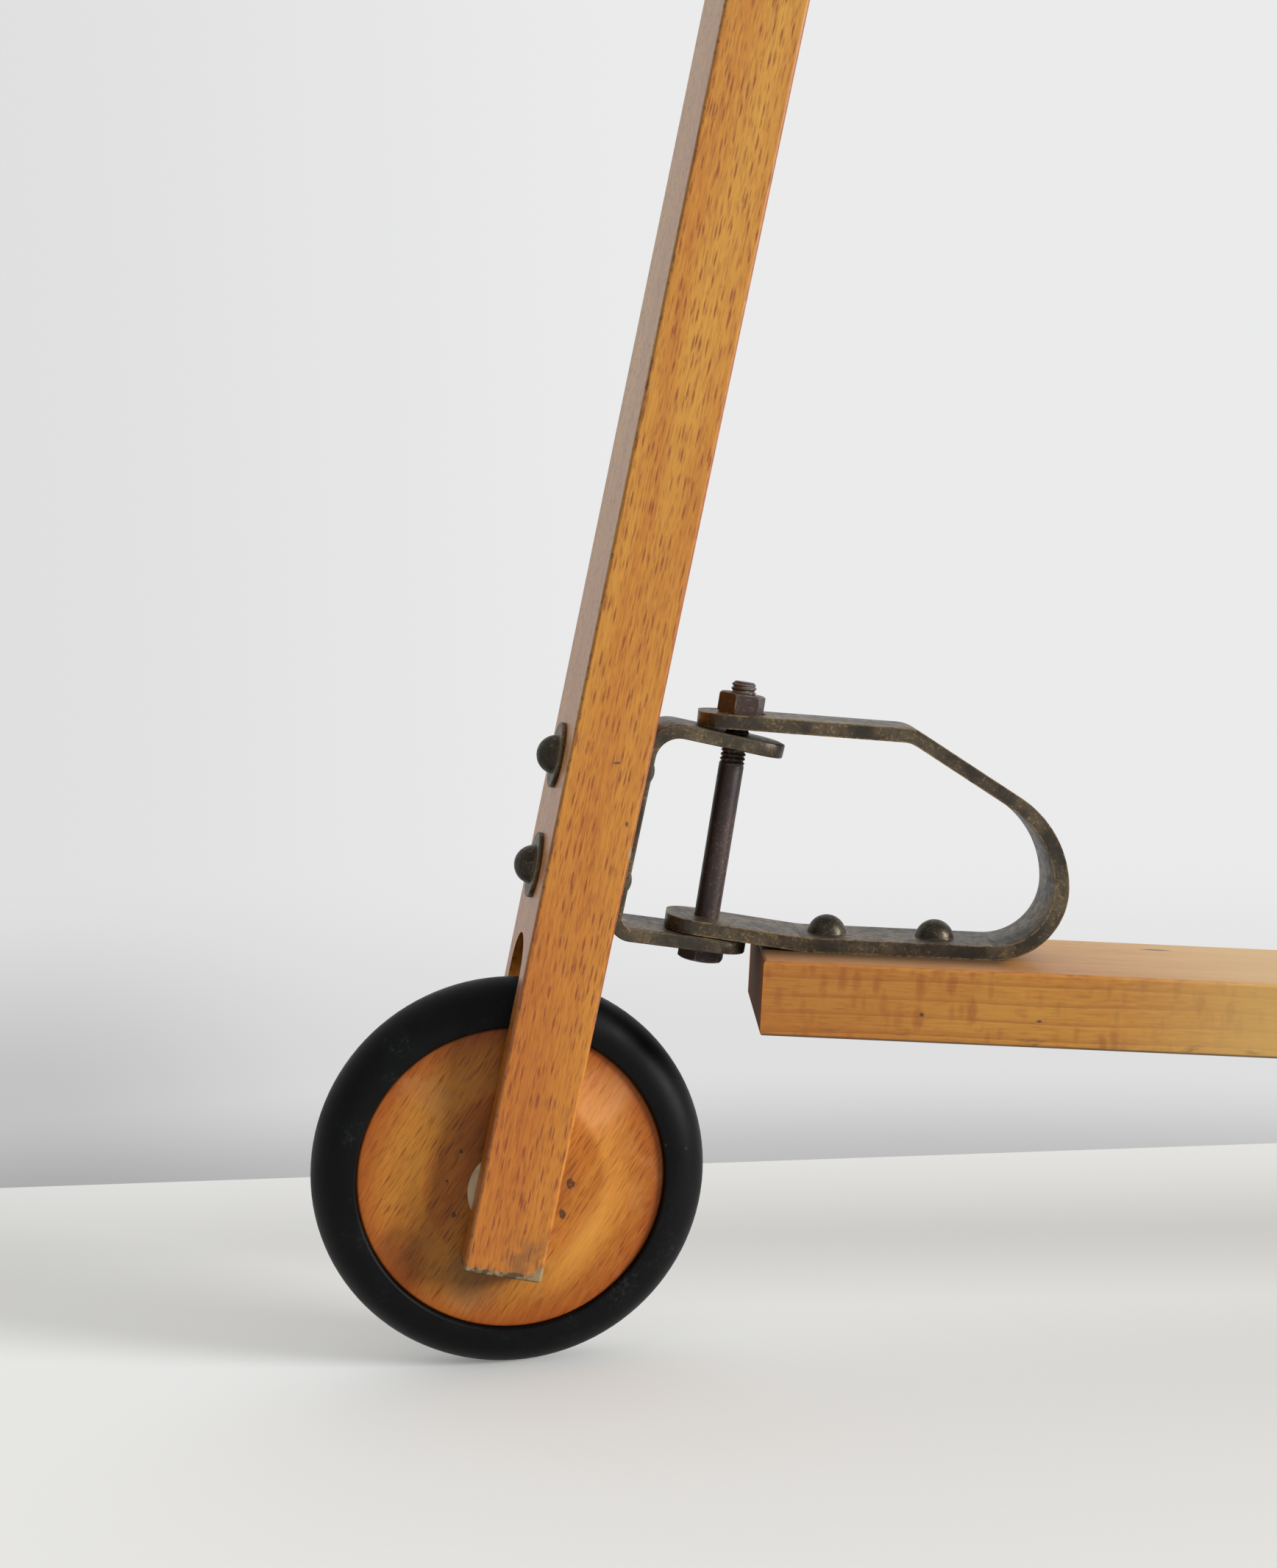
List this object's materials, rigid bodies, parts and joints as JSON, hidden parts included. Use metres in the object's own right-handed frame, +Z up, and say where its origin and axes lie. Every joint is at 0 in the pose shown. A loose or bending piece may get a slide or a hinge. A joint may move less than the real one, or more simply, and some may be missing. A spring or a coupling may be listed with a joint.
{
  "type": "kick scooter",
  "caption": "Child's wooden kick scooter: raked fork post with handlebar, turned wood wheels with solid tyres, plank deck, and a bent steel strap hinge that steers.",
  "frame": {"origin": "on the ground, halfway between the two axles of the scooter steered straight ahead", "axes": "+Z up, the scooter faces -X, Y across it; the resting front wheel is steered 8 degrees towards -Y as pictured"},
  "size_m": [0.875, 0.3582, 0.6968],
  "materials": {
    "post_beech": "varnished beech",
    "deck_beech": "varnished beech",
    "wheel_beech": "turned and varnished beech",
    "dowel_beech": "beech dowel, end grain",
    "strap_steel": "dark patinated flat steel",
    "rivet_steel": "dark patinated steel",
    "bolt_steel": "brown-red patinated steel",
    "axle_steel": "bright drawn steel",
    "tyre_rubber": "matt black solid rubber",
    "spacer_plastic": "cream plastic"
  },
  "bodies": {
    "deck": {"deck_board": "deck_beech", "hinge_loop": "strap_steel", "hinge_bolt": "bolt_steel", "hinge_nut": "bolt_steel", "deck_rivets": "rivet_steel", "deck_rivet_washers": "strap_steel", "rear_axle": "axle_steel", "rear_axle_plug": "dowel_beech", "rear_spacers": "spacer_plastic"},
    "steering": {"steering_post": "post_beech", "handlebar": "post_beech", "handlebar_pin": "dowel_beech", "handlebar_wedge": "dowel_beech", "post_bracket": "strap_steel", "post_rivets": "rivet_steel", "post_rivet_washers": "strap_steel", "front_axle": "axle_steel", "front_axle_plug": "dowel_beech", "front_spacers": "spacer_plastic"},
    "front_wheel": {"front_wheel_disc": "wheel_beech", "front_tyre": "tyre_rubber", "front_hub_bush": "axle_steel"},
    "rear_wheel": {"rear_wheel_disc": "wheel_beech", "rear_tyre": "tyre_rubber", "rear_hub_bush": "axle_steel"}
  },
  "joints": [
    {"name": "steering_hinge", "type": "hinge", "parent": "deck", "child": "steering", "pos_m": [-0.30931, 0, 0.1372], "axis": [0.1891, 0, 0.982], "range_deg": [-98, 82]},
    {"name": "front_wheel_spin", "type": "hinge", "parent": "steering", "child": "front_wheel", "pos_m": [-0.37452, -0.00702, 0.06291], "axis": [-0.1367, 0.9903, 0.0263], "continuous": true},
    {"name": "rear_wheel_spin", "type": "hinge", "parent": "deck", "child": "rear_wheel", "pos_m": [0.375, 0, 0.063], "axis": [0, 1, 0], "continuous": true}
  ]
}
